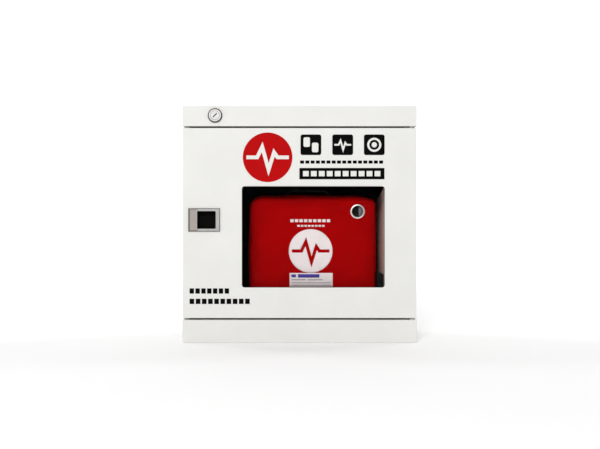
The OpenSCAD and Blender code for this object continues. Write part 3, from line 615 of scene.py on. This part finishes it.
def zip_teeth():
    """Small teeth set by turns on the two sides of the zip tape's middle."""
    bm = bmesh.new()
    loop = case_loop(0, FINE_STEPS)
    middle = (CASE_HIGH.y + REAR_LOW.y) / 2
    pitch, proud, aside = 2.4 * MM, 0.3 * MM, 0.5 * MM
    half_length, half_width, half_height = 0.8 * MM, 1.1 * MM, 0.5 * MM
    shortest = 1e-9
    left_over = 0.0
    count = len(loop)
    side = 1
    for i in range(count):
        a = Vector(loop[i])
        b = Vector(loop[(i + 1) % count])
        length = (b - a).length
        if length < shortest:
            continue
        run = (b - a) / length
        out = Vector((run.y, -run.x))
        at = left_over
        while at < length:
            p = a + run * at
            side = -side
            centre = Vector((p.x + out.x * proud, middle + side * aside, p.y + out.y * proud))
            along = Vector((run.x, 0, run.y)) * half_length
            wide = Vector((0, 1, 0)) * half_width
            up = Vector((out.x, 0, out.y)) * half_height
            add_box(bm, [centre + along * u + wide * v + up * w
                         for u in (-1, 1) for v in (-1, 1) for w in (-1, 1)])
            at += pitch
        left_over = at - length
    bmesh.ops.recalc_face_normals(bm, faces=bm.faces)
    mesh_piece("case_zip_teeth", bm, [], "case", "satin_chrome", smooth=False)


zip_teeth()


def lay_down(bm, low, high, lift):
    """Cut a thin sheet fine, then drop it along Y on to the front fabric, lift above it."""
    cell = 4 * MM
    sunk = 0.3 * MM
    ray_start = 50 * MM
    for axis, normal in ((0, (1, 0, 0)), (2, (0, 0, 1))):
        at = low[axis] + cell
        while at < high[axis]:
            point = [0, 0, 0]
            point[axis] = at
            bmesh.ops.bisect_plane(bm, geom=bm.verts[:] + bm.edges[:] + bm.faces[:],
                                   plane_co=point, plane_no=normal, dist=1e-6)
            at += cell
    bmesh.ops.triangulate(bm, faces=bm.faces)
    surface = BVHTree.FromObject(case_front, bpy.context.evaluated_depsgraph_get())
    middle = (low.y + high.y) / 2
    for v in bm.verts:
        start = Vector((v.co.x, low.y - ray_start, v.co.z))
        place = surface.ray_cast(start, Vector((0, 1, 0)))[0]
        if place is not None:
            v.co.y = place.y - (lift if v.co.y < middle else -sunk)


def lay_node(node):
    low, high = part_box(node)
    bm = sheet_bmesh(node)
    lay_down(bm, low, high, 0.4 * MM)
    mesh_piece(node + "_laid", bm, [node], "case", NODE_SLOT[node])


def lay_bars(name, bars, material):
    """Plain printed bars on the label, each given as left, right, foot and top in millimetres."""
    bm = bmesh.new()
    low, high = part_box("case_label")
    for left, right, foot, top in bars:
        add_box(bm, [(low.x + x * MM, y, low.z + z * MM)
                     for x in (left, right) for y in (low.y, high.y) for z in (foot, top)])
    bmesh.ops.recalc_face_normals(bm, faces=bm.faces)
    lay_down(bm, low, high, 0.7 * MM)
    obj = mesh_piece(name, bm, [], "case", "label_film")
    obj.data.materials[0] = MATS[material]


lay_node("case_emblem")
lay_node("case_label")
lay_bars("label_band", [(3.5, 12, 18.5, 24), (16, 56, 18, 24.5)], "label_blue")
lay_bars("label_rows", [(3.5, 30, 13.2, 15), (3.5, 77, 7.6, 9.2), (3.5, 77, 3.2, 4.8),
                        (34, 62, 13.2, 15)], "label_grey")


def painted_lens_reflection():
    """Pale half of the round status window, seen through the lens: a painted reflection on the lens.
    """
    back_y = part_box("aed_status_display")[0].y
    front_y = back_y - 0.8 * MM
    radius = RING_R - 4 * MM
    half_angle, steps = 75, 24
    bm = bmesh.new()
    points = []
    for k in range(steps + 1):
        a = math.radians(-half_angle + 2 * half_angle * k / steps)
        points.append((RING_AXIS.x + radius * math.cos(a), RING_AXIS.z + radius * math.sin(a)))
    rows = [[bm.verts.new((x, y, z)) for x, z in points] for y in (front_y, back_y)]
    join_rows(bm, rows)
    for row in rows:
        bm.faces.new(row)
    bmesh.ops.recalc_face_normals(bm, faces=bm.faces)
    bmesh.ops.bevel(bm, geom=sharp_edges(bm), offset=0.2 * MM, segments=2, affect="EDGES",
                    clamp_overlap=True)
    obj = mesh_piece("painted_lens_reflection", bm, [], "case", "aed_grey")
    # the half-disc is painted in the reflection's grey
    obj.data.materials[0] = MATS["painted_reflection_grey"]


painted_lens_reflection()


# ---------------------------------------------------------------- everything else keeps its CAD shape

for name, obj in nodes.items():
    dress(obj, NODE_SLOT[name])
    for face in obj.data.polygons:
        face.use_smooth = False


# ---------------------------------------------------------------- stage, light and camera

def make_stage():
    """One pale sheet: floor, bend and backdrop."""
    front_y, back_y, top, half_width = -6.0, 3.0, 6.0, 7.0
    bend, steps = 1.2, 12
    bm = bmesh.new()
    profile = [(front_y, 0.0)]
    for k in range(steps + 1):
        a = math.radians(90 * k / steps)
        profile.append((back_y + bend * math.sin(a), bend * (1 - math.cos(a))))
    profile.append((back_y + bend, top))
    rows = [[bm.verts.new((x, y, z)) for x in (-half_width, half_width)] for y, z in profile]
    for a, b in zip(rows, rows[1:]):
        bm.faces.new((a[0], a[1], b[1], b[0]))
    mesh = bpy.data.meshes.new("stage")
    bm.to_mesh(mesh)
    bm.free()
    obj = bpy.data.objects.new("stage", mesh)
    bpy.context.scene.collection.objects.link(obj)
    for face in mesh.polygons:
        face.use_smooth = True
    paper = (0.97, 0.97, 0.97)
    mat, tree, shader = new_material("stage_paper", paper, 0.9, specular=0.1)
    mottle(tree, shader, object_coords(tree), paper, 0.005, 3)
    mesh.materials.append(mat)


def area_light(name, place, aim, size, watts):
    data = bpy.data.lights.new(name, "AREA")
    data.shape = "RECTANGLE"
    data.size = size
    data.size_y = size
    data.energy = watts
    obj = bpy.data.objects.new(name, data)
    obj.location = place
    obj.rotation_euler = (Vector(aim) - Vector(place)).to_track_quat("-Z", "Y").to_euler()
    bpy.context.scene.collection.objects.link(obj)


make_stage()
world = bpy.data.worlds.new("studio")
bpy.context.scene.world = world
world.use_nodes = True
world.node_tree.nodes["Background"].inputs["Color"].default_value = (1, 1, 1, 1)
world.node_tree.nodes["Background"].inputs["Strength"].default_value = 0.64
area_light("key", (-0.6, -3.2, 1.9), (0, 0, 0.2), 0.7, 48)
for side in (-1, 1):
    area_light("backdrop_%d" % (side + 1), (2.6 * side, 1.4, 2.6), (0.8 * side, 4.2, 0.9), 1.6, 55)
bpy.context.scene.view_settings.view_transform = "Standard"

# the picture is this wide at the plane of the door's face
VIEW_WIDTH = 1.1004
CAMERA_DISTANCE = 1.6
DOOR_FACE_Y = -0.09
SENSOR = 36.0
camera_data = bpy.data.cameras.new("camera")
camera_data.sensor_width = SENSOR
camera_data.lens = SENSOR * CAMERA_DISTANCE / VIEW_WIDTH
camera = bpy.data.objects.new("camera", camera_data)
camera.location = (0.0007, DOOR_FACE_Y - CAMERA_DISTANCE, 0.2172)
camera.rotation_euler = (math.pi / 2, 0, 0)
bpy.context.scene.collection.objects.link(camera)
bpy.context.scene.camera = camera


def plain(box):
    return [[float(c) for c in corner] for corner in box]
